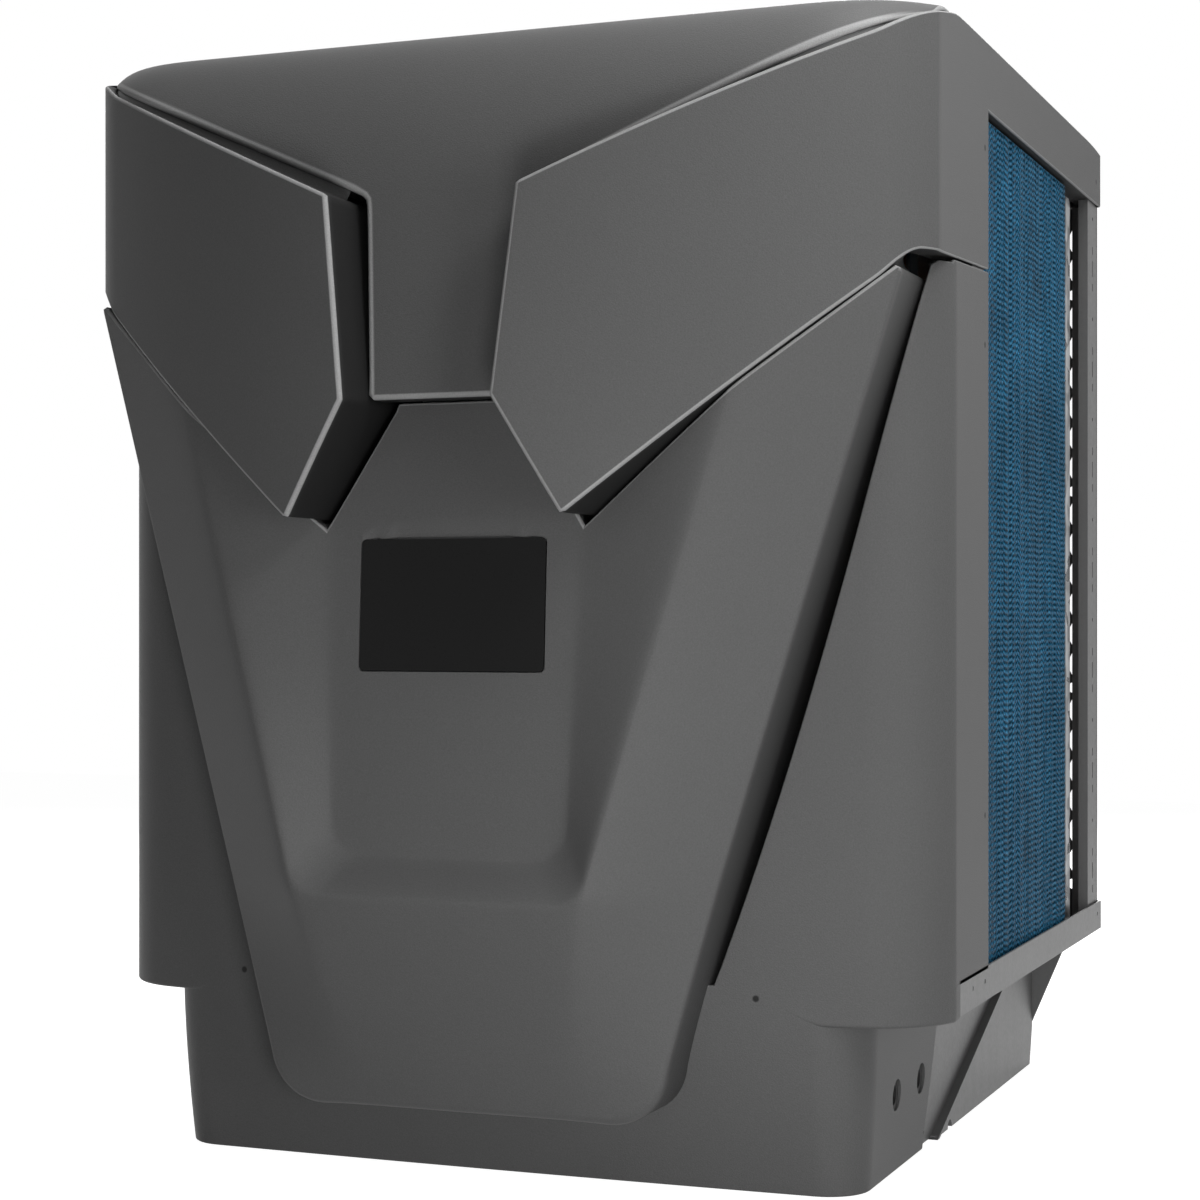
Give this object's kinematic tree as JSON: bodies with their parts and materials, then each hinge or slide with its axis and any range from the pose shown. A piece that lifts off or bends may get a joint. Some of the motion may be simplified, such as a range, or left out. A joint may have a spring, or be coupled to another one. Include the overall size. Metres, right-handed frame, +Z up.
{
  "type": "heat pump unit",
  "caption": "Pool heat pump cabinet: moulded front with a touch display and wing hood, finned coils on both sides, rear fan outlet and water unions.",
  "frame": {"origin": "on the floor, under the middle of the whole unit with its water unions", "axes": "+X to the right seen from the display side, +Y from the display side towards the fan outlet, +Z up"},
  "size_m": [0.795, 0.9676, 1],
  "materials": {
    "cover_plastic": "fine-textured moulded plastic, satin",
    "display_glass": "dark glossy display front",
    "dark_plastic": "plain black plastic",
    "grey_plastic": "plain grey plastic",
    "pan_steel": "powder-coated steel sheet, satin",
    "post_steel": "powder-coated steel sheet, dark",
    "zinc_steel": "zinc-coated steel",
    "black_steel": "black painted steel",
    "coated_fins": "blue coated aluminium fins",
    "copper": "bare copper tube",
    "rubber": "black rubber",
    "board": "green circuit board",
    "screws": "stainless screws"
  },
  "bodies": {
    "cabinet": {"front_shield": "cover_plastic", "front_frame": "cover_plastic", "hood_cover": "cover_plastic", "lid": "cover_plastic", "display_glass": "display_glass", "display_module": "dark_plastic", "base_pan": "pan_steel", "base_side_right": "pan_steel", "base_side_left": "pan_steel", "front_foot_rail": "zinc_steel", "rear_wall": "pan_steel", "rear_post_right": "post_steel", "rear_post_left": "post_steel", "front_posts": "post_steel", "top_frame": "zinc_steel", "coil_fins_right": "coated_fins", "coil_fins_left": "coated_fins", "coil_end_plates": "zinc_steel", "coil_bends": "copper", "coil_headers": "copper", "fan_motor": "black_steel", "motor_bracket": "zinc_steel", "fan_shroud": "post_steel", "rear_guard": "black_steel", "outlet_guard": "black_steel", "bulkhead": "zinc_steel", "machine_deck": "zinc_steel", "compressor": "black_steel", "compressor_grommets": "rubber", "accumulator": "black_steel", "accumulator_strap": "zinc_steel", "heat_exchanger": "dark_plastic", "reversing_valve": "copper", "expansion_valve": "copper", "filter_drier": "copper", "discharge_pipe": "copper", "suction_pipe": "copper", "exchanger_gas_pipe": "copper", "exchanger_liquid_pipe": "copper", "coil_gas_pipes": "copper", "coil_liquid_pipes": "copper", "water_pipes": "grey_plastic", "water_fittings": "grey_plastic", "fitting_locknuts": "grey_plastic", "union_tails": "grey_plastic", "union_seals": "rubber", "flow_switch": "dark_plastic", "electrical_box": "zinc_steel", "electrical_lid": "zinc_steel", "control_board": "board", "board_standoffs": "dark_plastic", "terminal_block": "grey_plastic", "drain_spout": "dark_plastic", "cable_grommets": "rubber", "cover_screws": "screws"},
    "fan": {"fan_rotor": "dark_plastic", "fan_shaft": "zinc_steel", "fan_nut": "screws"},
    "inlet_nut": {"union_nut_in": "grey_plastic"},
    "outlet_nut": {"union_nut_out": "grey_plastic"}
  },
  "joints": [
    {"name": "fan_spin", "type": "hinge", "parent": "cabinet", "child": "fan", "pos_m": [0, 0.3856, 0.56], "axis": [0, 1, 0], "continuous": true},
    {"name": "inlet_nut_turn", "type": "hinge", "parent": "cabinet", "child": "inlet_nut", "pos_m": [-0.12, 0.4356, 0.096], "axis": [0, 1, 0], "continuous": true},
    {"name": "outlet_nut_turn", "type": "hinge", "parent": "cabinet", "child": "outlet_nut", "pos_m": [0.12, 0.4356, 0.096], "axis": [0, 1, 0], "continuous": true}
  ]
}
